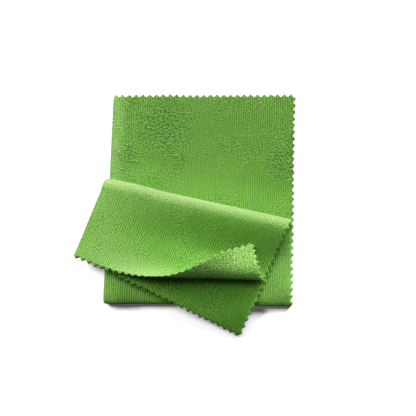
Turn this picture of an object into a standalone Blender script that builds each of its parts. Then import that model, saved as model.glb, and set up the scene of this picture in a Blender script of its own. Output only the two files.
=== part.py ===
"""A knitted cleaning cloth with pinked edges, folded in half, folded up and turned back down.

The cloth is one sheet. Its flat place is (u, v): u runs across the width and v along the length,
both measured from the middle. The half fold lies on u = 0 and the bottom fold on v = 0, so
v < 0 is the base that lies on the table and v > 0 is the part that is folded up over it.
u < 0 is the ply that lies on the table, and u > 0 is the ply above it.
All sizes are in metres, and +Z is up.
"""

import bpy
import numpy as np
from mathutils import Matrix, Vector
from mathutils.geometry import delaunay_2d_cdt

# The flat sheet.
WIDTH = 0.350
LENGTH = 0.400
THICK = 0.0010
TOOTH_DEPTH = 0.0031
TEETH_ACROSS = 54
TEETH_ALONG = 62
NIB_WIDTH = 0.0009
NIB_REACH = 0.0028

# Distance between the middles of two plies that lie together.
PLY = 0.0016

# The half fold at the left: radius of its loop, how steeply the upper ply climbs from the loop
# to its crown, how far that takes, and how far the plies then take to close.
# Columns: radius, climb in degrees, run to the crown, run of the closing.
PRESSED_FOLD = (0.0014, 15.0, 0.009, 0.026)
BASE_FOLD = (0.0020, 28.0, 0.012, 0.090)
FLAP_FOLD = (0.0016, 4.0, 0.010, 0.090)
PRESSED_END = 0.070
LOOSE_START = 0.150

# The bottom fold, where the pair of plies turns up and back.
FRONT_FOLD = (0.0030, 20.0, 0.008, 0.036)

# The slanted crease where the pair rolls back down: values at its left and right end. The plies
# on the inside turn back earlier, by CREASE_INNER times their distance from the pair's middle.
CREASE_Y = (0.1127, 0.0769)
CREASE_DEPTH = (0.0105, 0.0090)
CREASE_HEIGHT = (0.0032, 0.0078)
CREASE_SAG = (1.0, 0.45)
CREASE_LENGTH = (0.0281, 0.0236)
CREASE_SLACK = (0.0004, 0.0011)
CREASE_INNER = 2.0
SLACK_RUN = 0.030
CREASE_FALL = (0.034, 0.042)
FALL_LEAN = 0.85
CREASE_SLIDE = (0.0010, 0.0009)
CREASE_EAR = 0.0022
EAR_RUN = 0.030

# The soft mound under the crease: its height, and how far it runs behind, in front and beside.
SWELL = 0.0025
SWELL_RUN = (0.030, 0.080)
SWELL_SIDE = 0.030

# The turned-down flap: how it rides over the folds below it and droops past them.
SIDE_RISE = 0.0070
SIDE_RISE_START = 0.012
SIDE_RISE_RUN = 0.085
FRONT_RISE = (0.0054, 0.0042)
FRONT_RISE_START = 0.014
FRONT_RISE_RUN = (0.052, 0.036)
SIDE_DROOP = 0.0042
SIDE_DROOP_RUN = 0.040
FRONT_DROOP = 0.0110
FRONT_DROOP_RUN = 0.046
SWING = 0.0008
SWING_ANGLE = np.radians(24)
SWING_RUN = 0.100
# The upper ply of the flap is pushed together by this share of its length.
GATHER = 0.07
GATHER_START = 0.015
GATHER_RUN = 0.060
FLAP_TAPER = 0.062

# The curled corner of the flap's upper ply: where its start line passes and how it turns.
CURL_PLACE = (0.118, 0.0371)
CURL_TURN = np.radians(5.8)
CURL_TAPER = -5.0
CURL_START = 0.005
CURL_FULL = 0.085
CURL_SOFT = 0.85
CURL_TIP = 0.145
# Beyond upright the curl turns back later at its left: by this share, from here and over this run.
CURL_UPRIGHT = 95
CURL_LATE = 0.42
CURL_LATE_START = 0.008
CURL_LATE_RUN = 0.036
# Columns: length along the sheet from the start line, heading of the sheet in degrees.
CURL_PROFILE = (
    (0.0000, 0),
    (0.0085, 16),
    (0.0207, 95),
    (0.0322, 184),
    (0.0380, 203),
    (0.0480, 200),
    (0.0640, 186),
    (0.1426, 184),
)
CURL_SAMPLES = 40

# The shape leans a little to the right towards its back edge and to the front on its right.
LEAN = 0.0236
TILT = 0.0097

# How much longer than its own length the base lies, at its left and right side.
BASE_STRETCH = (-0.0030, 0.0205)

# A quarter circle of this radius is longer than its radius by this share of it.
BEND_LOSS = np.pi / 2 - 1

# The mesh: distance kept between its inner points and the pinked edge.
EDGE_GAP = 0.0034
# Distances from the half fold of the columns that follow its loop, and how many run the whole length.
LOOP_COLUMNS = (0, 0.0011, 0.0022, 0.0035, 0.0055, 0.0085, 0.0125, 0.0185, 0.0265)
LONG_COLUMNS = 7
# Distance between the columns beyond the loop, by what the rows follow.
STRAIGHT_STEP = 0.0145
CREASE_STEP = 0.0110
CURL_STEP = 0.0085
FREE_STEP = 0.0200
# Rows, as distances from the bottom fold.
BEND_ROWS = 3
CROWN_ROWS = (0.004, 0.008, 0.017, 0.026, 0.035, 0.044)
BASE_ROWS = (0.048, 0.064, 0.082, 0.100, 0.118, 0.128, 0.139, 0.150, 0.167, 0.184)
# Columns: v at the half fold, v at the side edge.
STRIP_ROWS = (
    (0.056, 0.047),
    (0.079, 0.056),
)
FREE_ROWS = (
    (0.178, 0.158),
    (0.187, 0.180),
)
# Rows along the crease: one before its roll, then shares of the roll, then lengths beyond it.
LEAD_IN = 0.006
ROLL_ROWS = (0, 0.12, 0.24, 0.34, 0.42, 0.50, 0.58, 0.66, 0.76, 0.88, 1)
FALL_ROWS = (0.006, 0.014, 0.023, 0.033)
# Rows along the curl, as lengths of its profile, and the runs that they are drawn through.
CURL_ROWS = (0, 0.005, 0.0085, 0.0113, 0.0141, 0.0169, 0.0197, 0.0224, 0.0249, 0.0275, 0.0300)
CURL_ROWS += (0.0325, 0.0355, 0.0385, 0.0440, 0.0500, 0.0570, 0.0640)
CURL_RUNS = (-0.118, 0.060)


def smooth(value):
    """Goes from 0 to 1 as value does, level at both ends."""
    value = np.clip(value, 0, 1)
    return value * value * (3 - 2 * value)


def between(pair, share):
    """The value at this share of the way from the pair's first to its second."""
    return pair[0] + (pair[1] - pair[0]) * share


def bend(length, radius, climb, run):
    """Upper half of a fold by length: an arc of the radius, which ends at the climb's angle, then
    a run on which that angle fades to nothing. Gives the angle turned and the height climbed.
    """
    climb = np.radians(climb)
    turned = np.minimum(length / radius, np.pi / 2 - climb)
    share = np.clip((length - radius * (np.pi / 2 - climb)) / run, 0, 1)
    height = radius * np.sin(turned) + run * climb * (share - share * share / 2)
    return turned + climb * share, height


def loop_profile(length, fold):
    """Section of a fold by length: a lower quarter circle, and an upper side that climbs to its
    crown and then closes. Gives how far the sheet reaches, half its opening and its middle.
    """
    radius, climb, crown_run, tail = fold
    quarter = np.pi / 2 * radius
    turned = np.minimum(length / radius, np.pi / 2)
    reach = radius * (1 - np.cos(turned)) + np.maximum(length - quarter, 0)
    low = radius - radius * np.sin(turned)
    high = radius + bend(length, radius, climb, crown_run)[1]
    closing = 1 - smooth((length - quarter - crown_run) / tail)
    opening = (PLY + (high - low - PLY) * closing) / 2
    return reach, opening, low + opening


def side_fold(v, loose):
    """The half fold's radius, climb and runs: pressed near the crease, loose far off."""
    freed = smooth((np.abs(v) - PRESSED_END) / (LOOSE_START - PRESSED_END))
    return [between(pair, freed) for pair in zip(PRESSED_FOLD, loose)]


def half_fold(u, v):
    """The pair of plies: reach from the fold, offset from the pair's middle, and both middle heights."""
    base = loop_profile(np.abs(u), side_fold(v, BASE_FOLD))
    flap = loop_profile(np.abs(u), side_fold(v, FLAP_FOLD))
    reach, opening, middle = [np.where(v > 0, *pair) for pair in zip(flap, base)]
    offset = np.where(u >= 0, opening, -opening)
    return reach, offset, middle, base[2]


def bottom_fold(v, offset, middle, base_middle):
    """Bends the pair round the bottom fold: y, z and the height of the upper pair's middle."""
    lowest = THICK / 2 + base_middle
    rest = base_middle + middle + PLY
    radius, climb, crown_run, tail = FRONT_FOLD
    radius = np.maximum(radius, rest / 2)
    quarter = np.pi / 2 * radius
    away = np.abs(v)
    turned, height = bend(away, radius, climb, crown_run)
    turned = np.where(v < 0, -np.minimum(away / radius, np.pi / 2), turned)
    height = np.where(v < 0, radius * np.sin(turned), height)
    closing = 1 - smooth((away - quarter - crown_run) / tail)
    upper = lowest + rest + (radius + height - rest) * closing
    middle_z = np.where(v < 0, lowest + radius + height, upper)
    y = radius * (1 - np.cos(np.minimum(away / radius, np.pi / 2)))
    y = y + np.maximum(away - quarter, 0) + offset * np.cos(turned)
    return y, middle_z - offset * np.sin(turned), upper


def crease_frame():
    """Start of the crease line, its direction, and the direction across it to the back."""
    start = np.array([0.0, CREASE_Y[0]])
    along = np.array([WIDTH / 2, CREASE_Y[1]]) - start
    along = along / np.linalg.norm(along)
    across = np.array([-along[1], along[0]])
    return start, along, across


def swell(x, y):
    """Height of the soft mound under the crease, by the distance behind or in front of its line."""
    start, along, across = crease_frame()
    away = (x - start[0]) * across[0] + (y - start[1]) * across[1]
    rise = smooth(1 - np.abs(away) / np.where(away > 0, *SWELL_RUN))
    return SWELL * rise * smooth(x / SWELL_SIDE)


def flap_level(x, y):
    """Height of the flap's lower ply where it lies on the folds below and droops past them."""
    level = THICK / 2 + 4 * PLY
    level = level + SIDE_RISE * (1 - smooth((x - SIDE_RISE_START) / SIDE_RISE_RUN))
    share = smooth(x / (WIDTH / 2))
    front = 1 - smooth((y - FRONT_RISE_START) / between(FRONT_RISE_RUN, share))
    level = level + between(FRONT_RISE, share) * front
    level = level - SIDE_DROOP * smooth(-x / SIDE_DROOP_RUN)
    return level - FRONT_DROOP * smooth(-y / FRONT_DROOP_RUN)


def turn_down(x, y, offset, middle, upper):
    """Rolls the pair back down over the crease: its new place, and the length beyond the roll.

    The roll is half an ellipse. Its angle is uneven by the difference of the axes over their sum,
    twice a turn, so that the sheet keeps its length.
    """
    start, along, across = crease_frame()
    run = (x - start[0]) * along[0] + (y - start[1]) * along[1]
    share = np.clip(run / (WIDTH / 2), 0, 1)
    depth = between(CREASE_DEPTH, share)
    height = between(CREASE_HEIGHT, share)
    length = between(CREASE_LENGTH, share)
    past = (x - start[0]) * across[0] + (y - start[1]) * across[1] + depth
    angle = np.pi * np.clip(past / length, 0, 1)
    angle = angle - (depth - height) / (depth + height) / 2 * np.sin(2 * angle)
    gather = GATHER * (offset > 0) * smooth((x - GATHER_START) / GATHER_RUN)
    beyond = np.maximum(past - length, 0) * (1 - gather)
    slack = between(CREASE_SLACK, share) * (offset > 0) * smooth(x / SLACK_RUN)
    out = offset + slack * smooth(angle / (np.pi / 2))
    wide = depth + np.where(out < 0, CREASE_INNER * out, out)
    back = np.where(past < length, wide * np.sin(angle), -beyond) - depth
    swing = SWING * np.clip(x / (WIDTH / 2), 0, 1) * np.clip(beyond / SWING_RUN, 0, 1)
    rolled_share = np.clip(past / length, 0, 1)
    ear = CREASE_EAR * np.sin(np.pi * rolled_share) * smooth(1 - run / EAR_RUN)
    run = run - between(CREASE_SLIDE, share) * np.clip(2 * rolled_share, 0, 1) - ear
    narrowing = FLAP_TAPER * (1 - share) * beyond
    new_x = start[0] + run * along[0] + back * across[0] - swing * np.sin(SWING_ANGLE) + narrowing
    new_y = start[1] + run * along[1] + back * across[1] - swing * np.cos(SWING_ANGLE)
    level = flap_level(new_x, new_y) + middle
    drop = 1 - smooth((beyond / between(CREASE_FALL, share)) ** FALL_LEAN)
    fallen = level + offset + (upper + 2 * height - level + slack) * drop
    below = between(CREASE_SAG, share) * height
    rise = np.where(angle < np.pi / 2, below, 2 * height - below)
    rolled = upper + below - (rise + out) * np.cos(angle)
    return new_x, new_y, np.where(beyond > 0, fallen, rolled), past, beyond


def curl_frame():
    """A point on the curl's start line, its direction to the right, and the direction to the front."""
    along = np.array([np.cos(CURL_TURN), -np.sin(CURL_TURN)])
    front = np.array([-np.sin(CURL_TURN), -np.cos(CURL_TURN)])
    return np.array(CURL_PLACE), along, front


def curl_size(run):
    """The curl is looser at the left than at the right: its size at this run along the start line."""
    return 1 + CURL_TAPER * run


def curl_corner(x, y, z, across_pair, active):
    """Rolls the upper ply's corner up and back, by walking its length with the profile's headings."""
    place, along, front = curl_frame()
    run = (x - place[0]) * along[0] + (y - place[1]) * along[1]
    length = (x - place[0]) * front[0] + (y - place[1]) * front[1]
    length = np.maximum(length, 0) * active
    weight = smooth((across_pair - CURL_START) / (CURL_FULL - CURL_START))
    tight = smooth((across_pair - CURL_FULL) / (CURL_TIP - CURL_FULL))
    weight = weight * (CURL_SOFT + (1 - CURL_SOFT) * tight)
    steps = (np.arange(CURL_SAMPLES) + 0.5) / CURL_SAMPLES
    lengths, headings = np.array(CURL_PROFILE).T
    walked = np.multiply.outer(steps, length / curl_size(run))
    turned = np.interp(walked, lengths, headings)
    late = CURL_LATE * smooth((CURL_LATE_START - run) / CURL_LATE_RUN)
    heading = np.radians(turned - late * np.maximum(turned - CURL_UPRIGHT, 0)) * weight
    forward = length * np.cos(heading).mean(axis=0) - length
    climb = length * np.sin(heading).mean(axis=0)
    return x + forward * front[0], y + forward * front[1], z + climb


def folded(u, v):
    """Place in space of the flat sheet's points."""
    reach, offset, middle, base_middle = half_fold(u, v)
    y, z, upper = bottom_fold(v, offset, middle, base_middle)
    y = y * np.where(v < 0, 1 + between(BASE_STRETCH, reach / (WIDTH / 2)), 1)
    turned_x, turned_y, turned_z, past, beyond = turn_down(reach, y, offset, middle, upper)
    active = (u > 0) & (beyond > 0)
    turned_x, turned_y, turned_z = curl_corner(turned_x, turned_y, turned_z, reach, active)
    flap = (v > 0) & (past > 0)
    x = np.where(flap, turned_x, reach)
    y = np.where(flap, turned_y, y)
    z = np.where(flap, turned_z, z)
    z = z + swell(x, y) * ((u > 0) | (v > 0))
    return np.stack([x + LEAN * y, y - TILT * x, z], axis=-1)


def flat_place(x, y):
    """The flat sheet's place, on the upper ply, of a point of the turned-down flap seen from above."""
    start, along, across = crease_frame()
    run = (x - start[0]) * along[0] + (y - start[1]) * along[1]
    back = (x - start[0]) * across[0] + (y - start[1]) * across[1]
    share = np.clip(run / (WIDTH / 2), 0, 1)
    depth = between(CREASE_DEPTH, share)
    back = between(CREASE_LENGTH, share) - depth - (back + depth) / (1 - GATHER)
    flat_x = start[0] + run * along[0] + back * across[0]
    flat_y = start[1] + run * along[1] + back * across[1]
    return flat_x + BEND_LOSS * PRESSED_FOLD[0], flat_y + BEND_LOSS * FRONT_FOLD[0]


def pinked_side(start, along, outward, length, teeth):
    """Zigzag from one corner up to the next: a valley at each pitch and a peak between two valleys."""
    pitch = length / teeth
    points = []
    for tooth in range(teeth):
        inset = TOOTH_DEPTH / 2 if tooth == 0 else 0
        valley = start + along * (tooth * pitch + inset) - outward * TOOTH_DEPTH / 2
        peak = start + along * ((tooth + 0.5) * pitch) + outward * TOOTH_DEPTH / 2
        points += [valley, peak]
    return points


def outline():
    """The pinked edge, anticlockwise from the corner with the least u and v, with its small loose nib."""
    right = np.array([1.0, 0.0])
    up = np.array([0.0, 1.0])
    corner = np.array([WIDTH, LENGTH]) / 2
    points = pinked_side(-corner, right, -up, WIDTH, TEETH_ACROSS)
    points += pinked_side(corner * (1, -1), up, right, LENGTH, TEETH_ALONG)
    points += pinked_side(corner, -right, up, WIDTH, TEETH_ACROSS)
    nib = len(points)
    points += pinked_side(corner * (-1, 1), -up, -right, LENGTH, TEETH_ALONG)
    root = points[nib]
    tip = root + np.array([-NIB_REACH / 2, NIB_REACH])
    points[nib : nib + 1] = [root + right * NIB_WIDTH, tip, root - up * NIB_WIDTH]
    return points


def straight_rows():
    """Rows level with the bottom fold, as v at the half fold and v at the side edge."""
    quarter = np.pi / 2 * FRONT_FOLD[0]
    loop = [quarter * step / BEND_ROWS for step in range(BEND_ROWS + 1)]
    crown = [quarter + further for further in CROWN_ROWS]
    rows = [(-v, -v) for v in loop[1:] + crown + list(BASE_ROWS)]
    rows += [(v, v) for v in loop + crown]
    return rows + list(STRIP_ROWS)


def crease_rows():
    """Rows that follow the crease, from before its roll to the end of its fall."""
    start, along, across = crease_frame()
    places = [(-LEAD_IN, 0)]
    places += [(0, share) for share in ROLL_ROWS]
    places += [(extra, 1) for extra in FALL_ROWS]
    rows = []
    for extra, share in places:
        ends = []
        for u, depth, length in zip((0, WIDTH / 2), CREASE_DEPTH, CREASE_LENGTH):
            back = extra + share * length - depth
            y = start[1] + (back - u * across[0]) / across[1]
            ends.append(y + BEND_LOSS * FRONT_FOLD[0])
        rows.append(tuple(ends))
    return rows


def curl_rows():
    """Rows that follow the curl's start line, on the flat sheet."""
    place, along, front = curl_frame()
    rows = []
    for walked in CURL_ROWS:
        ends = []
        for run in CURL_RUNS:
            x, y = place + along * run + front * walked * curl_size(run)
            ends.append(flat_place(x, y))
        (u0, v0), (u1, v1) = ends
        slope = (v1 - v0) / (u1 - u0)
        rows.append((v0 - u0 * slope, v0 + (WIDTH / 2 - u0) * slope))
    return rows


def columns(step):
    """Distances from the half fold: close together in the loop and this step apart beyond it."""
    return list(LOOP_COLUMNS) + list(np.arange(LOOP_COLUMNS[-1] + step, WIDTH / 2 - EDGE_GAP, step))


def lattice():
    """Inner points of the flat mesh, and the edges between them that must lie along the folds."""
    both = [(row, STRAIGHT_STEP) for row in straight_rows()]
    both += [(row, CREASE_STEP) for row in crease_rows()]
    plan = [(row, step, side) for row, step in both for side in (1, -1)]
    plan += [(row, CURL_STEP, 1) for row in curl_rows()]
    plan += [(row, FREE_STEP, -1) for row in FREE_ROWS]
    points = []
    edges = []
    for (left, right), step, side in plan:
        last = None
        for u in columns(step):
            v = left + (right - left) * u / (WIDTH / 2)
            if abs(v) > LENGTH / 2 - EDGE_GAP:
                last = None
                continue
            points.append((side * u, v))
            if last is not None:
                edges.append((last, len(points) - 1))
            last = len(points) - 1
    return points, edges


def fold_lines(points):
    """Edges that run along the half fold, through the points of each close column."""
    edges = []
    values = np.array(points)
    for u in LOOP_COLUMNS[:LONG_COLUMNS]:
        for side in (1, -1):
            members = np.flatnonzero(np.abs(values[:, 0] - side * u) < 1e-6)
            members = members[np.argsort(values[members, 1])]
            edges += list(zip(members[:-1], members[1:]))
    return edges


def flat_mesh():
    """Triangles of the flat sheet: its points as (u, v) and its faces."""
    ring = outline()
    points, edges = lattice()
    edges = edges + fold_lines(points)
    shift = len(ring)
    places = [Vector(p) for p in ring + points]
    edges = [(int(a) + shift, int(b) + shift) for a, b in edges]
    found = delaunay_2d_cdt(places, edges, [list(range(shift))], 1, 1e-6)
    flat = np.array([tuple(p) for p in found[0]])
    return flat, found[2]


def make_material():
    """The knitted microfibre of the cloth."""
    material = bpy.data.materials.new("microfibre")
    material.use_nodes = True
    shader = material.node_tree.nodes["Principled BSDF"]
    shader.inputs["Base Color"].default_value = (0.10, 0.32, 0.035, 1)
    shader.inputs["Roughness"].default_value = 0.9
    return material


def centre_over_origin(piece):
    """Moves the piece sideways so that its box stands centred over the origin."""
    bpy.context.view_layer.update()
    shown = piece.evaluated_get(bpy.context.evaluated_depsgraph_get())
    corners = np.array([tuple(corner) for corner in shown.bound_box])
    middle = (corners.min(axis=0) + corners.max(axis=0)) / 2
    piece.data.transform(Matrix.Translation((-middle[0], -middle[1], 0)))


def make_cloth(collection):
    """The cloth: the folded surface, thickened to both sides, centred over the origin."""
    flat, faces = flat_mesh()
    places = folded(flat[:, 0], flat[:, 1])
    mesh = bpy.data.meshes.new("cloth")
    mesh.from_pydata(places.tolist(), [], [tuple(face) for face in faces])
    cloth = bpy.data.objects.new("cloth", mesh)
    collection.objects.link(cloth)
    thicken = cloth.modifiers.new("thickness", "SOLIDIFY")
    thicken.thickness = THICK
    thicken.offset = 0
    mesh.materials.append(make_material())
    centre_over_origin(cloth)


def build():
    """Clears the scene and makes the cloth in a collection of its own."""
    for item in list(bpy.data.objects):
        bpy.data.objects.remove(item, do_unlink=True)
    collection = bpy.data.collections.new("microfibre_cloth")
    bpy.context.scene.collection.children.link(collection)
    make_cloth(collection)


build()
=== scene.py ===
import bpy
import numpy as np
from mathutils import Matrix, Vector


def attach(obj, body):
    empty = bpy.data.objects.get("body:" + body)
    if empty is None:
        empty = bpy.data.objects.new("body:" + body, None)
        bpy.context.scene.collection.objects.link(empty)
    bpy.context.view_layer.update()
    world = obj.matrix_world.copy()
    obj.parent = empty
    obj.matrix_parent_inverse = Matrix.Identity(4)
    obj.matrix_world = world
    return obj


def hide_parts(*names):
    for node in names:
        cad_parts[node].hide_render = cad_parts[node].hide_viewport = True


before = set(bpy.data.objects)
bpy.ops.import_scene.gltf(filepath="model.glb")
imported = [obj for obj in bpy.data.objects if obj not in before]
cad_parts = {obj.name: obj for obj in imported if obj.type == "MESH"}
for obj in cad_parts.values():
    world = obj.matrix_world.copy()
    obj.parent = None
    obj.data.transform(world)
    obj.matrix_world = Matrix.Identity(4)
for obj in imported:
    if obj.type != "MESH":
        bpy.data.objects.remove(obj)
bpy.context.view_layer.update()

# ---------------------------------------------------------------------------------------------
# The knitted cleaning cloth: one sheet, folded in half, folded up, and turned back down.
#
# Its flat place is (u, v): u runs across the width and v along the length, from the middle.
# The half fold lies on u = 0 and the bottom fold on v = 0. v < 0 is the base that lies on the
# table, and v > 0 is folded up over it, as the strip up to the crease and the flap past it. On
# the base and the flap u < 0 is the lower ply and u > 0 the upper one, and on the strip between
# them it is the other way round. All sizes are in metres.
# ---------------------------------------------------------------------------------------------

# The flat sheet, cut with pinking shears on all four sides. The teeth are a little uneven, and one
# corner has a small uncut nib.
WIDTH = 0.350
LENGTH = 0.400
THICK = 0.0010
TOOTH_DEPTH = 0.0031
TOOTH_UNEVEN = 0.00028
TEETH_ACROSS = 54
TEETH_ALONG = 62
NIB_REACH = 0.0012

# On the flap the lower ply's free edge shows past the upper one's: by this much, between these.
SLIP = 0.0018
SLIP_START = (0.120, 0.135)
SLIP_END = (0.155, 0.185)

# From the folded cloth's own corner to where it stands in the frame.
FRAME_SHIFT = (-0.07607, -0.08522)

# Distance between the middles of two plies that lie together.
PLY = 0.0016

# The half fold at the left: radius of its loop, how steeply the upper ply climbs from the loop
# to its crown, how far that takes, and how far the plies then take to close.
# Columns: radius, climb in degrees, run to the crown, run of the closing.
PRESSED_FOLD = (0.0014, 15.0, 0.009, 0.026)
BASE_FOLD = (0.0020, 28.0, 0.012, 0.090)
FLAP_FOLD = (0.0016, 4.0, 0.010, 0.090)
PRESSED_END = 0.070
LOOSE_START = 0.150

# The bottom fold, where the pair of plies turns up and back.
FRONT_FOLD = (0.0030, 20.0, 0.008, 0.036)

# The slanted crease where the pair rolls back down: values at its left and right end. The roll is
# half an ellipse: how far it reaches back, half its height, and at what share of that its point
# furthest back lies. The upper ply stands off by the slack, and the plies on the inside turn back
# earlier, by CREASE_INNER times their distance from the pair's middle.
CREASE_Y = (0.1127, 0.0769)
CREASE_SLOPE = (CREASE_Y[1] - CREASE_Y[0]) / (WIDTH / 2)
CREASE_DEPTH = (0.0105, 0.0090)
CREASE_HEIGHT = (0.0032, 0.0078)
CREASE_SAG = (1.0, 0.45)
CREASE_LENGTH = (0.0281, 0.0236)
CREASE_SLACK = (0.0004, 0.0011)
CREASE_INNER = 2.0
SLACK_RUN = 0.030
# Past the roll the pair falls over this length, a little faster at first. The roll slides to the
# left, and its left end stands out as a small ear.
CREASE_FALL = (0.034, 0.042)
FALL_LEAN = 0.85
CREASE_SLIDE = (0.0010, 0.0009)
CREASE_EAR = 0.0022
EAR_RUN = 0.030

# The soft mound under the crease: its height, and how far it runs behind, in front and beside.
SWELL = 0.0025
SWELL_RUN = (0.030, 0.080)
SWELL_SIDE = 0.030

# The turned-down flap: how it rides over the folds below it and droops past them.
SIDE_RISE = 0.0070
FRONT_RISE = (0.0054, 0.0042)
SIDE_DROOP = 0.0042
FRONT_DROOP = 0.0110
SIDE_DROOP_RUN = 0.040
FRONT_DROOP_RUN = 0.046
SIDE_RISE_START = 0.012
SIDE_RISE_RUN = 0.085
FRONT_RISE_START = 0.014
FRONT_RISE_RUN = (0.052, 0.036)
# The flap's right side swings a little to the front, and its left side draws in towards there.
SWING = 0.0008
SWING_ANGLE = np.radians(24)
SWING_RUN = 0.100
FLAP_TAPER = 0.062
# The upper ply of the flap is pushed together by this share of its length.
GATHER = 0.07
GATHER_START = 0.015
GATHER_RUN = 0.060

# The curled corner of the flap's upper ply: where its start line passes, how that turns, and how
# much tighter the curl gets to the right, for each metre. Across the pair it grows from its start
# to the share CURL_SOFT of itself, and to all of it at its tip.
CURL_PLACE = (0.118, 0.0371)
CURL_TURN = np.radians(5.8)
CURL_TAPER = -5.0
CURL_START = 0.005
CURL_FULL = 0.085
CURL_SOFT = 0.85
CURL_TIP = 0.145
# Beyond upright the curl turns back later at its left: by this share, from here and over this run.
CURL_UPRIGHT = 95
CURL_LATE = 0.34
CURL_LATE_START = 0.008
CURL_LATE_RUN = 0.036
# Columns: length along the sheet from the start line, heading of the sheet in degrees.
CURL_PROFILE = (
    (0.0000, 0),
    (0.0085, 16),
    (0.0207, 95),
    (0.0322, 184),
    (0.0380, 203),
    (0.0480, 200),
    (0.0640, 186),
    (0.1426, 184),
)
CURL_SAMPLES = 40

# The shape leans a little to the right towards its back edge and to the front on its right.
LEAN = 0.0236
TILT = 0.0097

# How much longer than its own length the base lies, at its left and right side.
BASE_STRETCH = (-0.0030, 0.0205)

# Soft unevenness of the cloth. Columns: waves across the width, waves along the length, phase
# in turns, height.
UNEVEN = (
    (2.3, 1.1, 0.10, 0.00016),
    (-3.1, 2.2, 0.55, 0.00012),
    (5.2, 3.4, 0.30, 0.00009),
    (1.4, -6.3, 0.80, 0.00008),
)

# Ripple of the free edges: its height, and how far it reaches inwards. Along each edge a slow
# wave and a weaker fast one are added, in radians for each metre.
EDGE_WAVE = 0.00022
EDGE_WAVE_RUN = 0.008
SIDE_EDGE_WAVES = (190, 437)
END_EDGE_WAVES = (170, 391)
FAST_WAVE = 0.6

# The fine grid. Columns: up to this distance from the fold, parts in each half tooth.
ACROSS_UPPER = ((0.0065, 5), (0.029, 2), (WIDTH, 2))
ACROSS_LOWER = ((0.0065, 5), (0.029, 2), (WIDTH, 1))
ALONG_BASE = ((0.0065, 4), (0.030, 2), (LENGTH, 1))
ALONG_FOLDED = ((0.0065, 4), (0.030, 3), (0.066, 2), (0.142, 3), (LENGTH, 2))
# Distance kept between the inner points and the pinked edge.
EDGE_GAP = 0.0007


def smooth(value):
    """Smoothstep: three times the square less twice the cube, of the value kept from 0 to 1."""
    value = np.clip(value, 0, 1)
    return value * value * (3 - 2 * value)


def between(pair, share):
    """The pair's first value, plus the share times the difference to its second."""
    return pair[0] + (pair[1] - pair[0]) * share


def bend(length, radius, climb, run):
    """Upper half of a fold by length: an arc of the radius, which ends at the climb's angle, then
    a run on which that angle fades to nothing. Gives the angle turned and the height climbed.
    """
    climb = np.radians(climb)
    turned = np.minimum(length / radius, np.pi / 2 - climb)
    share = np.clip((length - radius * (np.pi / 2 - climb)) / run, 0, 1)
    height = radius * np.sin(turned) + run * climb * (share - share * share / 2)
    return turned + climb * share, height


def loop_profile(length, fold):
    """Section of a fold by length: a lower quarter circle, and an upper side that climbs to its
    crown and then closes. Gives how far the sheet reaches, half its opening and its middle.
    """
    radius, climb, crown_run, tail = fold
    quarter = np.pi / 2 * radius
    turned = np.minimum(length / radius, np.pi / 2)
    reach = radius * (1 - np.cos(turned)) + np.maximum(length - quarter, 0)
    low = radius - radius * np.sin(turned)
    high = radius + bend(length, radius, climb, crown_run)[1]
    closing = 1 - smooth((length - quarter - crown_run) / tail)
    opening = (PLY + (high - low - PLY) * closing) / 2
    return reach, opening, low + opening


def side_fold(v, loose):
    """The half fold's radius, climb and closing run: pressed near the crease, loose far off."""
    freed = smooth((np.abs(v) - PRESSED_END) / (LOOSE_START - PRESSED_END))
    return [between(pair, freed) for pair in zip(PRESSED_FOLD, loose)]


def half_fold(u, v):
    """The pair of plies: the fold's section by the distance from u = 0, its sign by the side."""
    base = loop_profile(np.abs(u), side_fold(v, BASE_FOLD))
    flap = loop_profile(np.abs(u), side_fold(v, FLAP_FOLD))
    reach, opening, middle = [np.where(v > 0, *pair) for pair in zip(flap, base)]
    offset = np.where(u >= 0, opening, -opening)
    return reach, offset, middle, base[2]


def bottom_fold(v, offset, middle, base_middle):
    """Bends the pair round the bottom fold. Gives y, z and the upper level of the pair's middle.

    The middle follows a quarter circle below, and above it climbs to a crown and then closes. A
    ply's offset from it is turned by the fold's angle: its cosine goes into y, its sine off z.
    """
    lowest = THICK / 2 + base_middle
    rest = base_middle + middle + PLY
    radius, climb, crown_run, tail = FRONT_FOLD
    radius = np.maximum(radius, rest / 2)
    quarter = np.pi / 2 * radius
    away = np.abs(v)
    turned, height = bend(away, radius, climb, crown_run)
    turned = np.where(v < 0, -np.minimum(away / radius, np.pi / 2), turned)
    height = np.where(v < 0, radius * np.sin(turned), height)
    closing = 1 - smooth((away - quarter - crown_run) / tail)
    upper = lowest + rest + (radius + height - rest) * closing
    middle_z = np.where(v < 0, lowest + radius + height, upper)
    y = radius * (1 - np.cos(np.minimum(away / radius, np.pi / 2)))
    y = y + np.maximum(away - quarter, 0) + offset * np.cos(turned)
    return y, middle_z - offset * np.sin(turned), upper


def swell(x, y):
    """Soft mound under the crease: a smoothstep by the distance from its line times one by x."""
    start, along, across = crease_frame()
    away = (x - start[0]) * across[0] + (y - start[1]) * across[1]
    rise = smooth(1 - np.abs(away) / np.where(away > 0, *SWELL_RUN))
    return SWELL * rise * smooth(x / SWELL_SIDE)


def crease_frame():
    """Start of the crease line, its direction, and the direction across it to the back."""
    start = np.array([0.0, CREASE_Y[0]])
    along = np.array([WIDTH / 2, CREASE_Y[1]]) - start
    along = along / np.linalg.norm(along)
    across = np.array([-along[1], along[0]])
    return start, along, across


def flap_level(x, y):
    """Height of the flap's lower ply: four plies up, more over the two folds, less past them."""
    level = THICK / 2 + 4 * PLY
    level = level + SIDE_RISE * (1 - smooth((x - SIDE_RISE_START) / SIDE_RISE_RUN))
    share = smooth(x / (WIDTH / 2))
    front = 1 - smooth((y - FRONT_RISE_START) / between(FRONT_RISE_RUN, share))
    level = level + between(FRONT_RISE, share) * front
    level = level - SIDE_DROOP * smooth(-x / SIDE_DROOP_RUN)
    return level - FRONT_DROOP * smooth(-y / FRONT_DROOP_RUN)


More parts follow.
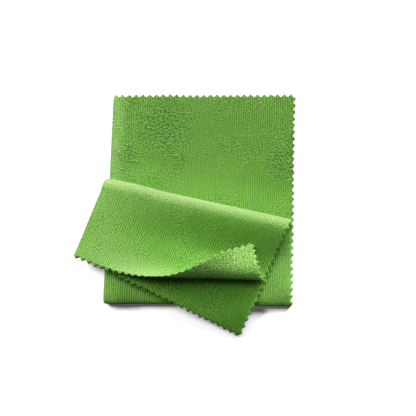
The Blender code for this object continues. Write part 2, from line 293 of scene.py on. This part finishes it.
def turn_down(x, y, offset, middle, upper):
    """Rolls the pair over the crease by half an ellipse, then lets it fall to the flap's level.

    The angle on the ellipse is uneven by the difference of its axes over their sum, twice a
    turn, so that the sheet keeps its length.
    """
    start, along, across = crease_frame()
    run = (x - start[0]) * along[0] + (y - start[1]) * along[1]
    share = np.clip(run / (WIDTH / 2), 0, 1)
    depth = between(CREASE_DEPTH, share)
    height = between(CREASE_HEIGHT, share)
    length = between(CREASE_LENGTH, share)
    past = (x - start[0]) * across[0] + (y - start[1]) * across[1] + depth
    angle = np.pi * np.clip(past / length, 0, 1)
    angle = angle - (depth - height) / (depth + height) / 2 * np.sin(2 * angle)
    gather = GATHER * (offset > 0) * smooth((x - GATHER_START) / GATHER_RUN)
    beyond = np.maximum(past - length, 0) * (1 - gather)
    slack = between(CREASE_SLACK, share) * (offset > 0) * smooth(x / SLACK_RUN)
    out = offset + slack * smooth(angle / (np.pi / 2))
    wide = depth + np.where(out < 0, CREASE_INNER * out, out)
    back = np.where(past < length, wide * np.sin(angle), -beyond) - depth
    swing = SWING * np.clip(x / (WIDTH / 2), 0, 1) * np.clip(beyond / SWING_RUN, 0, 1)
    rolled_share = np.clip(past / length, 0, 1)
    ear = CREASE_EAR * np.sin(np.pi * rolled_share) * smooth(1 - run / EAR_RUN)
    run = run - between(CREASE_SLIDE, share) * np.clip(2 * rolled_share, 0, 1) - ear
    narrowing = FLAP_TAPER * (1 - share) * beyond
    new_x = start[0] + run * along[0] + back * across[0] - swing * np.sin(SWING_ANGLE) + narrowing
    new_y = start[1] + run * along[1] + back * across[1] - swing * np.cos(SWING_ANGLE)
    level = flap_level(new_x, new_y) + middle
    drop = 1 - smooth((beyond / between(CREASE_FALL, share)) ** FALL_LEAN)
    fallen = level + offset + (upper + 2 * height - level + slack) * drop
    below = between(CREASE_SAG, share) * height
    rise = np.where(angle < np.pi / 2, below, 2 * height - below)
    rolled = upper + below - (rise + out) * np.cos(angle)
    return new_x, new_y, np.where(beyond > 0, fallen, rolled), past, beyond


def curl_frame():
    """A point on the curl's start line, its direction to the right, and the way to the front."""
    along = np.array([np.cos(CURL_TURN), -np.sin(CURL_TURN)])
    front = np.array([-np.sin(CURL_TURN), -np.cos(CURL_TURN)])
    return np.array(CURL_PLACE), along, front


def curl_corner(x, y, z, across_pair, active):
    """Rolls the corner up and back: the mean cosine and sine of the headings, times the length.

    The headings are read from the profile at even steps from the start line, and weighted by how
    far across the pair the point lies.
    """
    place, along, front = curl_frame()
    run = (x - place[0]) * along[0] + (y - place[1]) * along[1]
    length = (x - place[0]) * front[0] + (y - place[1]) * front[1]
    length = np.maximum(length, 0) * active
    weight = smooth((across_pair - CURL_START) / (CURL_FULL - CURL_START))
    tight = smooth((across_pair - CURL_FULL) / (CURL_TIP - CURL_FULL))
    weight = weight * (CURL_SOFT + (1 - CURL_SOFT) * tight)
    steps = (np.arange(CURL_SAMPLES) + 0.5) / CURL_SAMPLES
    lengths, headings = np.array(CURL_PROFILE).T
    walked = np.multiply.outer(steps, length / (1 + CURL_TAPER * run))
    turned = np.interp(walked, lengths, headings)
    late = CURL_LATE * smooth((CURL_LATE_START - run) / CURL_LATE_RUN)
    heading = np.radians(turned - late * np.maximum(turned - CURL_UPRIGHT, 0)) * weight
    forward = length * np.cos(heading).mean(axis=0) - length
    climb = length * np.sin(heading).mean(axis=0)
    return x + forward * front[0], y + forward * front[1], z + climb


def folded(u, v):
    """Place in space of the flat sheet's points: half fold, bottom fold, crease, then curl."""
    reach, offset, middle, base_middle = half_fold(u, v)
    y, z, upper = bottom_fold(v, offset, middle, base_middle)
    y = y * np.where(v < 0, 1 + between(BASE_STRETCH, reach / (WIDTH / 2)), 1)
    turned_x, turned_y, turned_z, past, beyond = turn_down(reach, y, offset, middle, upper)
    active = (u > 0) & (beyond > 0)
    turned_x, turned_y, turned_z = curl_corner(turned_x, turned_y, turned_z, reach, active)
    flap = (v > 0) & (past > 0)
    x = np.where(flap, turned_x, reach)
    y = np.where(flap, turned_y, y)
    z = np.where(flap, turned_z, z)
    z = z + swell(x, y) * ((u > 0) | (v > 0))
    places = [x + LEAN * y + FRAME_SHIFT[0], y - TILT * x + FRAME_SHIFT[1], z]
    return np.stack(places, axis=-1)


def unevenness(u, v):
    """Sum of the slow sine waves in the table, the same in both plies of the pair."""
    total = 0 * u
    for across, along, phase, height in UNEVEN:
        turns = across * np.abs(u) / WIDTH + along * v / LENGTH + phase
        total = total + height * np.sin(2 * np.pi * turns)
    return total


def ripple(distance, side, waves):
    """A slow sine and a weaker fast one along an edge, both shifted by the edge's side."""
    slow, fast = waves
    return np.sin(distance * slow + side) + FAST_WAVE * np.sin(distance * fast + 2 * side)


def edge_lift(u, v):
    """Lift of the free edges: the ripple along each edge, fading inwards from it."""
    beside = smooth(1 - (WIDTH / 2 - np.abs(u)) / EDGE_WAVE_RUN)
    before = smooth(1 - (LENGTH / 2 - np.abs(v)) / EDGE_WAVE_RUN)
    along = ripple(v, np.sign(u), SIDE_EDGE_WAVES)
    across = ripple(u, np.sign(v), END_EDGE_WAVES)
    return EDGE_WAVE * (beside * along + before * across)


def tooth_wave(distance, length, teeth, seed):
    """Triangle wave from valley to peak, each half tooth's end moved a little by a seeded draw."""
    halves = 2 * teeth
    draw = np.random.default_rng(seed).uniform(-1, 1, halves + 1) * TOOTH_UNEVEN
    ends = np.where(np.arange(halves + 1) % 2 == 1, TOOTH_DEPTH / 2, -TOOTH_DEPTH / 2) + draw
    ends[[0, -1]] = -TOOTH_DEPTH / 2
    return np.interp(distance, np.linspace(-length / 2, length / 2, halves + 1), ends)


def half_tooth_stops(length, teeth, low_side, high_side):
    """Stops at each half tooth along one direction, split into even parts by the side's table."""
    ends = np.linspace(-length / 2, length / 2, 2 * teeth + 1)
    stops = []
    for first, second in zip(ends[:-1], ends[1:]):
        near = min(abs(first), abs(second))
        table = low_side if first + second < 0 else high_side
        parts = next(parts for reach, parts in table if near < reach)
        stops += list(np.linspace(first, second, parts + 1)[:-1])
    inner = length / 2 - TOOTH_DEPTH / 2 - EDGE_GAP
    kept = [stop for stop in stops if abs(stop) < inner - EDGE_GAP]
    return np.array([-length / 2, -inner] + kept + [inner, length / 2])


def flat_grid():
    """The flat sheet as two arrays: a grid whose outer rows and columns follow the pinking.

    The lower ply's free edge also slips out by one smoothstep up and one down along the flap.
    """
    u_stops = half_tooth_stops(WIDTH, TEETH_ACROSS, ACROSS_LOWER, ACROSS_UPPER)
    v_stops = half_tooth_stops(LENGTH, TEETH_ALONG, ALONG_BASE, ALONG_FOLDED)
    u, v = np.meshgrid(u_stops, v_stops, indexing="ij")
    u_edge, v_edge = u.copy(), v.copy()
    slip = smooth((v[0] - SLIP_START[0]) / (SLIP_START[1] - SLIP_START[0]))
    slip = SLIP * slip * smooth((SLIP_END[1] - v[0]) / (SLIP_END[1] - SLIP_END[0]))
    u_edge[0] = -WIDTH / 2 - slip - tooth_wave(v[0], LENGTH, TEETH_ALONG, 1)
    u_edge[-1] = WIDTH / 2 + tooth_wave(v[-1], LENGTH, TEETH_ALONG, 2)
    v_edge[:, 0] = -LENGTH / 2 - tooth_wave(u[:, 0], WIDTH, TEETH_ACROSS, 3)
    v_edge[:, -1] = LENGTH / 2 + tooth_wave(u[:, -1], WIDTH, TEETH_ACROSS, 4)
    u_edge[0, -1] -= NIB_REACH / 2
    v_edge[0, -1] += NIB_REACH
    return u_edge, v_edge


def grid_faces(rows, columns):
    """Quads of a grid: each point with the next in its row and the two after them."""
    index = np.arange(rows * columns).reshape(rows, columns)
    corners = (index[:-1, :-1], index[1:, :-1], index[1:, 1:], index[:-1, 1:])
    return np.stack(corners, axis=-1).reshape(-1, 4)


def make_mesh(name, places, faces, flat):
    """A mesh from arrays, with the flat sheet's place in metres as its UV map."""
    mesh = bpy.data.meshes.new(name)
    mesh.vertices.add(len(places))
    mesh.vertices.foreach_set("co", places.astype(np.float32).ravel())
    mesh.loops.add(faces.size)
    mesh.loops.foreach_set("vertex_index", faces.ravel().astype(np.int32))
    mesh.polygons.add(len(faces))
    starts = np.arange(len(faces)) * faces.shape[1]
    mesh.polygons.foreach_set("loop_start", starts.astype(np.int32))
    mesh.update(calc_edges=True)
    sheet_map = mesh.uv_layers.new(name="sheet")
    sheet_map.data.foreach_set("uv", flat[faces.ravel()].astype(np.float32).ravel())
    mesh.validate()
    return mesh


def make_cloth():
    """The cloth: the folded grid with its soft unevenness, thickened to both sides."""
    u, v = flat_grid()
    places = folded(u, v)
    uneven = places[..., 2] + unevenness(u, v) + edge_lift(u, v)
    places[..., 2] = np.maximum(uneven, THICK / 2)
    flat = np.stack([u, v], axis=-1).reshape(-1, 2) + (WIDTH / 2, LENGTH / 2)
    faces = grid_faces(*u.shape)
    mesh = make_mesh("cloth_sheet", places.reshape(-1, 3), faces, flat)
    cloth = bpy.data.objects.new("cloth_sheet", mesh)
    bpy.context.scene.collection.objects.link(cloth)
    thicken = cloth.modifiers.new("thickness", "SOLIDIFY")
    thicken.thickness = THICK
    thicken.offset = 0
    mesh.shade_smooth()
    return cloth


# ---------------------------------------------------------------------------------------------
# The knit. Its pattern and its colours follow the flat sheet, so they stay on it through the
# folds. There `across` and `along` are u and v measured from the sheet's corner.
# ---------------------------------------------------------------------------------------------

# Width of a rib and length of a loop, how far the ribs wander as a share of their width, how far
# the loops shift from rib to rib in radians, and how deep the loops cut into a rib.
RIB = 0.0021
LOOP = 0.0017
RIB_WANDER = 0.9
LOOP_STAGGER = 2.4
LOOP_DEPTH = 0.35

# Noises on the sheet. Columns: scale, detail.
WANDER_NOISE = (120.0, 3.0)
PEBBLE_NOISE = (620.0, 1.0)
RAGGED_NOISE = (130.0, 4.0)
RUBBED_NOISE = (30.0, 4.0)
WORN_NOISE = (14.0, 3.0)
FUZZ_NOISE = (2600.0, 2.0)

# Rubbed pile stands up in pebbles: the lows and highs of their noise, and their height by a rib's.
PEBBLE_ENDS = (0.41, 0.54)
PEBBLE_HEIGHT = 1.6

# How much of the pile is rubbed: anywhere, near each place in the table and on the curled corner.
# Near a place it fades between these shares of the radius, and noise makes that edge ragged. The
# table's columns: place across, place along, radius.
RUBBED_ENDS = (0.42, 0.72)
RUBBED_SHARES = (0.10, 0.55)
RUBBED = (
    (0.230, 0.033, 0.030),
    (0.340, 0.065, 0.018),
    (0.191, 0.061, 0.011),
    (0.241, 0.065, 0.010),
)
RUBBED_REACH = (0.2, 1.4)
RUBBED_NEAR = (0.95, 0.10)
RUBBED_CORNER = 0.75
RAGGED_EDGE = 0.020

# Height of the bump, and of the fuzz on it as a share.
RELIEF = 0.0009
FUZZ = 0.25

# The colours: the pile on the ribs, painted shade in the grooves between them and in the pebbles'
# lows, and paler worn pile, with the lows and highs of its noise and its largest share.
PILE_GREEN = (0.184, 0.525, 0.052, 1)
GROOVE_SHADE_GREEN = (0.045, 0.205, 0.009, 1)
WORN_GREEN = (0.222, 0.565, 0.072, 1)
WORN_ENDS = (0.35, 0.70)
WORN_SHARE = 0.5

# The heights between which the painted shade in the grooves fades, and how dark it is on the base
# and on what is folded up. It is darkest on the flap's lower ply and where the pile is rubbed.
GROOVE_SHADE_HEIGHTS = (0.10, 0.75)
GROOVE_SHADE_BASE = 0.66
GROOVE_SHADE_FOLDED = 0.68
GROOVE_SHADE_DARKEST = 1.0

# Half widths of the soft changes over the bottom fold and over the half fold, the line where the
# flap's lower ply starts past the bottom fold, and where its curled corner starts: past the half
# fold, and short of the front edge.
BOTTOM_BLEND = 0.010
HALF_BLEND = 0.002
FLAP_START = (0.100, 0.125)
CORNER_START = (0.098, 0.120)
CORNER_RUN = (0.062, 0.040)

# How bright the base is: its level, and the amount of painted light added beside the half fold
# and behind the crease, where it stands for light bounced off the crease, by these shares of
# that amount and over these distances.
BASE_LEVEL = 0.765
BASE_PAINTED_LIGHT = 0.35
PAINTED_LIGHT_BESIDE_FOLD = 0.90
PAINTED_LIGHT_FOLD_RUN = (0.004, 0.018)
PAINTED_BOUNCE_BEHIND_CREASE = 0.65
PAINTED_BOUNCE_CREASE_RUN = (0.001, 0.080)

# Painted light on what is folded up, as how much brighter than 1 it is: on the strip that shows
# below the flap, on the flap beside its fold, on the curled corner, and a painted highlight along
# the side teeth.
PAINTED_LIGHT_STRIP = 0.28
PAINTED_LIGHT_STRIP_END = (0.085, 0.100)
PAINTED_LIGHT_FLAP = 0.13
PAINTED_LIGHT_FLAP_START = (0.125, 0.150)
PAINTED_LIGHT_FLAP_END = (0.100, 0.140)
PAINTED_LIGHT_CORNER = 0.25
PAINTED_HIGHLIGHT_TEETH = 0.40
PAINTED_HIGHLIGHT_TEETH_RUN = (0.0035, 0.0005)

# A pale painted sheen where the light catches the pile. How strong it is on the crease's crest,
# and over which distances.
PAINTED_SHEEN_COLOUR = (0.88, 0.96, 0.56, 1)
PAINTED_SHEEN_CREST = 0.33
CREST_AHEAD = 0.0065
CREST_RUN = (0.002, 0.0135)
CREST_BLEND = 0.020
# The same beside the flap's fold, at its front edge, on its curled corner, on the strip and beside
# the base's fold.
PAINTED_SHEEN_SIDE = 0.08
SIDE_RUN = (0.0, 0.075)
PAINTED_SHEEN_FRONT = 0.25
FRONT_RUN = (0.035, 0.002)
FRONT_START = (0.000, 0.085)
FRONT_END = (0.090, 0.120)
PAINTED_SHEEN_CORNER = 0.09
PAINTED_SHEEN_STRIP = 0.07
PAINTED_SHEEN_BASE = 0.14
BASE_RUN = (0.004, 0.018)

# The shader's own numbers: a soft gloss with a pale sheen.
KNIT_FINISH = {
    "Roughness": 0.34,
    "IOR": 1.55,
    "Specular IOR Level": 1.0,
    "Specular Tint": (1.0, 0.95, 0.55, 1),
    "Sheen Weight": 0.35,
    "Sheen Roughness": 0.45,
    "Sheen Tint": (0.86, 1.0, 0.62, 1),
}


class Nodes:
    """Adds nodes to a material, each fed by plain numbers or by other nodes' outputs."""

    def __init__(self, material):
        material.use_nodes = True
        self.tree = material.node_tree
        self.shader = self.tree.nodes["Principled BSDF"]

    def feed(self, socket, value):
        """Links another node's output to the socket, or sets a plain number or colour on it."""
        if isinstance(value, bpy.types.NodeSocket):
            self.tree.links.new(value, socket)
        else:
            socket.default_value = value

    def finish(self, settings):
        """Feeds the shader's sockets by their names."""
        for name, value in settings.items():
            self.feed(self.shader.inputs[name], value)

    def add(self, kind, inputs, output=0, **settings):
        """A node of the kind with its settings and inputs. Gives its output."""
        node = self.tree.nodes.new(kind)
        for name, value in settings.items():
            setattr(node, name, value)
        for key, value in inputs.items():
            self.feed(node.inputs[key], value)
        return node.outputs[output]

    def math(self, operation, first, second=0.0, third=0.0):
        """One step of arithmetic."""
        inputs = {0: first, 1: second, 2: third}
        return self.add("ShaderNodeMath", inputs, operation=operation)

    def join(self, operation, first, *others):
        """The same step again and again: the first value with each of the others in turn."""
        for other in others:
            first = self.math(operation, first, other)
        return first

    def noise(self, place, scale, detail):
        """Noise with a mean of about 0.5."""
        inputs = {"Vector": place, "Scale": scale, "Detail": detail}
        return self.add("ShaderNodeTexNoise", inputs)

    def ramp(self, value, low, high, first=0.0, last=1.0):
        """Smoothstep of the value from low to high, which goes from the first to the last."""
        inputs = {"Value": value, "From Min": low, "From Max": high, "To Min": first, "To Max": last}
        return self.add("ShaderNodeMapRange", inputs, interpolation_type="SMOOTHSTEP")

    def scale(self, vector, factor):
        """The vector or colour times the factor."""
        inputs = {"Vector": vector, "Scale": factor}
        return self.add("ShaderNodeVectorMath", inputs, operation="SCALE")

    def blend(self, share, first, second):
        """The first number, plus the share times the difference to the second."""
        inputs = {"Factor": share, 2: first, 3: second}
        return self.add("ShaderNodeMix", inputs)

    def mix(self, share, first, second):
        """The first colour, plus the share times the difference to the second."""
        inputs = {"Factor": share, 6: first, 7: second}
        return self.add("ShaderNodeMix", inputs, output=2, data_type="RGBA")


def knit_heights(nodes, sheet, across, along):
    """Heights of the ribs, the loops and the rubbed pebbles, each from 0 to 1.

    Ribs are the absolute sine across the width. Loops are a sine along the length whose start
    shifts from rib to rib. Pebbles are fine noise, ramped steeply from its lows to its highs.
    """
    wander = nodes.math("MULTIPLY", nodes.noise(sheet, *WANDER_NOISE), RIB * RIB_WANDER)
    shifted = nodes.math("ADD", across, wander)
    ribs = nodes.math("ABSOLUTE", nodes.math("SINE", nodes.math("MULTIPLY", shifted, np.pi / RIB)))
    rib_number = nodes.math("FLOOR", nodes.math("DIVIDE", shifted, RIB))
    stagger = nodes.math("MULTIPLY", rib_number, LOOP_STAGGER)
    turned = nodes.math("MULTIPLY_ADD", along, 2 * np.pi / LOOP, stagger)
    loops = nodes.math("MULTIPLY_ADD", nodes.math("SINE", turned), 0.5, 0.5)
    pebbles = nodes.ramp(nodes.noise(sheet, *PEBBLE_NOISE), *PEBBLE_ENDS)
    return ribs, loops, pebbles


def from_half_fold(nodes, across):
    """Distance from the half fold, the same on both plies."""
    return nodes.math("ABSOLUTE", nodes.math("SUBTRACT", across, WIDTH / 2))


def over_bottom_fold(nodes, along, base, folded_up):
    """One value on the base and one on what is folded up, by a ramp over the bottom fold."""
    ends = (LENGTH / 2 - BOTTOM_BLEND, LENGTH / 2 + BOTTOM_BLEND)
    return nodes.ramp(along, *ends, base, folded_up)


def over_half_fold(nodes, across, first, second):
    """One value where u is below 0 and one where it is above, by a ramp over the half fold."""
    return nodes.ramp(across, WIDTH / 2 - HALF_BLEND, WIDTH / 2 + HALF_BLEND, first, second)


def curled_share(nodes, across, along):
    """One on the flap's curled corner and nothing elsewhere: a ramp across times one along."""
    across_ends = [WIDTH / 2 + end for end in CORNER_START]
    along_ends = [LENGTH - end for end in CORNER_RUN]
    return nodes.math("MULTIPLY", nodes.ramp(across, *across_ends), nodes.ramp(along, *along_ends))


def rubbed_share(nodes, sheet, across, along):
    """Share of rubbed pile: the most of coarse noise, of a ramp by the ragged distance from each
    place in the table, and of the curled corner.
    """
    ragged_noise = nodes.noise(sheet, *RAGGED_NOISE)
    ragged = nodes.math("MULTIPLY_ADD", ragged_noise, 2 * RAGGED_EDGE, -RAGGED_EDGE)
    anywhere = nodes.ramp(nodes.noise(sheet, *RUBBED_NOISE), *RUBBED_ENDS, *RUBBED_SHARES)
    near = []
    for middle_across, middle_along, radius in RUBBED:
        places = {0: sheet, 1: (middle_across, middle_along, 0)}
        away = nodes.add("ShaderNodeVectorMath", places, output=1, operation="DISTANCE")
        ends = [radius * share for share in RUBBED_REACH]
        near.append(nodes.ramp(nodes.math("ADD", away, ragged), *ends, *RUBBED_NEAR))
    corner = nodes.math("MULTIPLY", curled_share(nodes, across, along), RUBBED_CORNER)
    return nodes.join("MAXIMUM", anywhere, *near, corner)


def groove_shade_depth(nodes, across, along, rubbed):
    """How dark the painted shade in the grooves is: one value on the base and one folded up, with
    more of it on the flap's lower ply, and all of it where the pile is rubbed.
    """
    depth = over_bottom_fold(nodes, along, GROOVE_SHADE_BASE, GROOVE_SHADE_FOLDED)
    flap_ends = [LENGTH / 2 + end for end in FLAP_START]
    lower = over_half_fold(nodes, across, GROOVE_SHADE_DARKEST - GROOVE_SHADE_FOLDED, 0.0)
    depth = nodes.math("MULTIPLY_ADD", lower, nodes.ramp(along, *flap_ends), depth)
    return nodes.blend(rubbed, depth, GROOVE_SHADE_DARKEST)


def base_brightness(nodes, from_fold, along):
    """The base's brightness: its level, plus painted light by the larger of two ramps: by the
    distance from the half fold, and by the distance behind the line below the crease, where it
    stands for light bounced off the crease.
    """
    line = nodes.math("MULTIPLY_ADD", from_fold, -CREASE_SLOPE, LENGTH / 2 - CREASE_Y[0])
    behind = nodes.math("SUBTRACT", line, along)
    beside_fold = nodes.ramp(from_fold, *PAINTED_LIGHT_FOLD_RUN, PAINTED_LIGHT_BESIDE_FOLD, 0.0)
    behind_crease = nodes.ramp(behind, *PAINTED_BOUNCE_CREASE_RUN, PAINTED_BOUNCE_BEHIND_CREASE, 0.0)
    painted_lit = nodes.math("MAXIMUM", beside_fold, behind_crease)
    return nodes.math("MULTIPLY_ADD", painted_lit, BASE_PAINTED_LIGHT, BASE_LEVEL)


def folded_brightness(nodes, from_fold, across, along):
    """What is folded up: one, plus the painted light of the strip, the flap and the corner, and the
    painted highlight of the teeth.
    """
    strip_ends = [LENGTH / 2 + end for end in PAINTED_LIGHT_STRIP_END]
    strip = over_half_fold(nodes, across, PAINTED_LIGHT_STRIP, 0.0)
    strip = nodes.math("MULTIPLY", strip, nodes.ramp(along, *strip_ends, 1.0, 0.0))
    flap_ends = [LENGTH / 2 + end for end in PAINTED_LIGHT_FLAP_START]
    flap = nodes.ramp(from_fold, *PAINTED_LIGHT_FLAP_END, PAINTED_LIGHT_FLAP, 0.0)
    flap = nodes.math("MULTIPLY", flap, nodes.ramp(along, *flap_ends))
    teeth_ends = [WIDTH / 2 - end for end in PAINTED_HIGHLIGHT_TEETH_RUN]
    teeth = nodes.ramp(from_fold, *teeth_ends, 0.0, PAINTED_HIGHLIGHT_TEETH)
    corner = nodes.math("MULTIPLY", curled_share(nodes, across, along), PAINTED_LIGHT_CORNER)
    return nodes.join("ADD", 1.0, strip, flap, teeth, corner)


def brightness_and_painted_light(nodes, across, along):
    """Brightness with painted light on the flat sheet: the base's, blended over the bottom fold
    with that of what is folded up.
    """
    from_fold = from_half_fold(nodes, across)
    base = base_brightness(nodes, from_fold, along)
    folded_up = folded_brightness(nodes, from_fold, across, along)
    return nodes.blend(over_bottom_fold(nodes, along, 0.0, 1.0), base, folded_up)


def painted_sheen_flap(nodes, from_fold, across, along, ahead):
    """Painted pale sheen on the flap's upper ply: the sum of its side, its front edge and its
    corner, which starts ahead of the crest.
    """
    side = nodes.ramp(from_fold, *SIDE_RUN, PAINTED_SHEEN_SIDE, 0.0)
    front_ends = [LENGTH - end for end in FRONT_RUN]
    front = nodes.ramp(along, *front_ends, 0.0, PAINTED_SHEEN_FRONT)
    front_start = nodes.ramp(from_fold, *FRONT_START)
    front_end = nodes.ramp(from_fold, *FRONT_END, 1.0, 0.0)
    front = nodes.join("MULTIPLY", front, front_start, front_end)
    corner = nodes.math("MULTIPLY", curled_share(nodes, across, along), PAINTED_SHEEN_CORNER)
    flap = nodes.join("ADD", side, front, corner)
    upper = nodes.math("GREATER_THAN", across, WIDTH / 2)
    return nodes.join("MULTIPLY", flap, nodes.ramp(ahead, 0.0, CREST_BLEND), upper)


def painted_sheen_share(nodes, across, along):
    """Share of the pale painted sheen on the flat sheet: the larger of the crest, which is a ramp
    by the distance from its line, and the sum of the flap, the strip and the base.
    """
    from_fold = from_half_fold(nodes, across)
    crest_start = LENGTH / 2 + CREASE_Y[0] + CREST_AHEAD
    line = nodes.math("MULTIPLY_ADD", from_fold, CREASE_SLOPE, crest_start)
    ahead = nodes.math("SUBTRACT", along, line)
    crest = nodes.ramp(nodes.math("ABSOLUTE", ahead), *CREST_RUN, PAINTED_SHEEN_CREST, 0.0)
    flap = painted_sheen_flap(nodes, from_fold, across, along, ahead)
    strip = over_bottom_fold(nodes, along, 0.0, PAINTED_SHEEN_STRIP)
    strip = nodes.math("MULTIPLY", strip, nodes.ramp(ahead, -CREST_BLEND, 0.0, 1.0, 0.0))
    base = over_bottom_fold(nodes, along, 1.0, 0.0)
    base = nodes.math("MULTIPLY", base, nodes.ramp(from_fold, *BASE_RUN, PAINTED_SHEEN_BASE, 0.0))
    return nodes.math("MAXIMUM", crest, nodes.join("ADD", flap, strip, base))


def knit_material():
    """Soft microfibre knit: ribs, loops and pebbles in the bump, painted shade in the grooves,
    painted light and a pale painted sheen on the pile, and a soft gloss.
    """
    material = bpy.data.materials.new("microfibre_knit")
    nodes = Nodes(material)
    sheet = nodes.add("ShaderNodeUVMap", {}, uv_map="sheet")
    across = nodes.add("ShaderNodeSeparateXYZ", {0: sheet}, output=0)
    along = nodes.add("ShaderNodeSeparateXYZ", {0: sheet}, output=1)
    ribs, loops, pebbles = knit_heights(nodes, sheet, across, along)
    cut = nodes.math("MULTIPLY_ADD", loops, LOOP_DEPTH, 1 - LOOP_DEPTH)
    ribbed = nodes.math("MULTIPLY", ribs, cut)
    pebbled = nodes.math("MULTIPLY", pebbles, PEBBLE_HEIGHT)
    rubbed = rubbed_share(nodes, sheet, across, along)
    knit = nodes.blend(rubbed, ribbed, pebbled)
    worn = nodes.ramp(nodes.noise(sheet, *WORN_NOISE), *WORN_ENDS)
    pile = nodes.mix(nodes.math("MULTIPLY", worn, WORN_SHARE), PILE_GREEN, WORN_GREEN)
    # Painted shade in the lows of the ribs and pebbles: a darker green, mixed in by their height.
    groove_shade = nodes.mix(groove_shade_depth(nodes, across, along, rubbed), pile, GROOVE_SHADE_GREEN)
    colour = nodes.mix(nodes.ramp(knit, *GROOVE_SHADE_HEIGHTS), groove_shade, pile)
    # Painted light: the colour is scaled by a brightness that holds painted light and a painted
    # highlight.
    colour = nodes.scale(colour, brightness_and_painted_light(nodes, across, along))
    # Painted sheen: the colour turns pale where light catches the pile.
    colour = nodes.mix(painted_sheen_share(nodes, across, along), colour, PAINTED_SHEEN_COLOUR)
    fuzz = nodes.math("MULTIPLY", nodes.noise(sheet, *FUZZ_NOISE), FUZZ)
    relief = {"Height": nodes.math("ADD", knit, fuzz), "Distance": RELIEF, "Strength": 1.0}
    bump = nodes.add("ShaderNodeBump", relief)
    nodes.finish({"Base Color": colour, "Normal": bump})
    nodes.finish(KNIT_FINISH)
    return material


# ---------------------------------------------------------------------------------------------
# Floor, light and camera.
# ---------------------------------------------------------------------------------------------

FLOOR_SIZE = 6.0
FLOOR_DROP = 0.0002
FLOOR_FINISH = {
    "Base Color": (0.93, 0.93, 0.93, 1),
    "Roughness": 1.0,
    "Specular IOR Level": 0.0,
    "Emission Color": (1, 1, 1, 1),
    "Emission Strength": 0.09,
}
SKY_STRENGTH = 0.85

# The lights for the floor and for the cloth. Columns: name, direction from the right in degrees,
# height in degrees, size, power.
LIGHT_DISTANCE = 1.6
FLOOR_LIGHTS = (
    ("floor_left", 155, 40, 0.70, 41.0),
    ("floor_right", 58, 37, 0.70, 43.0),
)
CLOTH_LIGHTS = (
    ("back", 72, 25, 0.90, 16.5),
    ("left", 154, 12, 0.80, 17.5),
    ("right", 38, 12, 0.90, 13.5),
    ("high_left", 150, 45, 0.90, 8.8),
    ("top", 90, 70, 0.90, 7.6),
    ("front", 285, 8, 0.90, 2.2),
)
# Only this one glints on the pile.
GLOSSY_LIGHT = "back"

# The camera. Its aim is measured from the folded cloth's own corner.
LENS = 90.0
SENSOR = 36.0
CAMERA_PITCH = np.radians(9.0)
CAMERA_ROLL = np.radians(0.5)
CAMERA_AIM = (0.0962, 0.0900, 0.0)
CAMERA_DISTANCE = 0.989


def make_floor():
    """A plain pale floor just under the cloth: one square, which throws no light back on it."""
    half = FLOOR_SIZE / 2
    corners = [(-half, -half), (half, -half), (half, half), (-half, half)]
    mesh = bpy.data.meshes.new("floor")
    mesh.from_pydata([(x, y, -FLOOR_DROP) for x, y in corners], [], [(0, 1, 2, 3)])
    floor = bpy.data.objects.new("floor", mesh)
    bpy.context.scene.collection.objects.link(floor)
    material = bpy.data.materials.new("floor_white")
    nodes = Nodes(material)
    nodes.finish(FLOOR_FINISH)
    mesh.materials.append(material)
    floor.visible_diffuse = False
    floor.visible_glossy = False
    return floor


def make_light(name, turn, height, size, power, lit):
    """A round soft light from the given direction, which lights the given piece alone."""
    lamp = bpy.data.lights.new(name, "AREA")
    lamp.shape = "DISK"
    lamp.size = size
    lamp.energy = power
    light = bpy.data.objects.new(name, lamp)
    turn, height = np.radians(turn), np.radians(height)
    level = np.cos(height)
    way = Vector((level * np.cos(turn), level * np.sin(turn), np.sin(height)))
    light.location = way * LIGHT_DISTANCE
    light.rotation_euler = way.to_track_quat("Z", "Y").to_euler()
    light.visible_glossy = name == GLOSSY_LIGHT
    receivers = bpy.data.collections.new(name)
    receivers.objects.link(lit)
    light.light_linking.receiver_collection = receivers
    bpy.context.scene.collection.objects.link(light)


def make_sky():
    """A plain pale backdrop, which lights nothing itself."""
    world = bpy.data.worlds.new("studio")
    bpy.context.scene.world = world
    world.use_nodes = True
    background = world.node_tree.nodes["Background"]
    background.inputs["Color"].default_value = (1, 1, 1, 1)
    background.inputs["Strength"].default_value = SKY_STRENGTH
    world.cycles_visibility.diffuse = False
    world.cycles_visibility.glossy = False


def make_camera():
    """Looks nearly straight down from the front, at what is in the photograph's middle."""
    lens = bpy.data.cameras.new("camera")
    lens.lens = LENS
    lens.sensor_width = SENSOR
    camera = bpy.data.objects.new("camera", lens)
    aim = Vector(CAMERA_AIM) + Vector((*FRAME_SHIFT, 0))
    turn = Matrix.Rotation(CAMERA_PITCH, 4, "X") @ Matrix.Rotation(CAMERA_ROLL, 4, "Z")
    away = turn @ Vector((0, 0, CAMERA_DISTANCE))
    camera.matrix_world = Matrix.Translation(aim + away) @ turn
    bpy.context.scene.collection.objects.link(camera)
    bpy.context.scene.camera = camera


def build():
    """Makes the cloth, then what lights it and looks at it."""
    cloth = make_cloth()
    cloth.data.materials.append(knit_material())
    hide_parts("cloth")
    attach(cloth, "root")
    floor = make_floor()
    make_sky()
    for light in FLOOR_LIGHTS:
        make_light(*light, floor)
    for light in CLOTH_LIGHTS:
        make_light(*light, cloth)
    make_camera()
    bpy.context.scene.view_settings.view_transform = "Standard"


build()
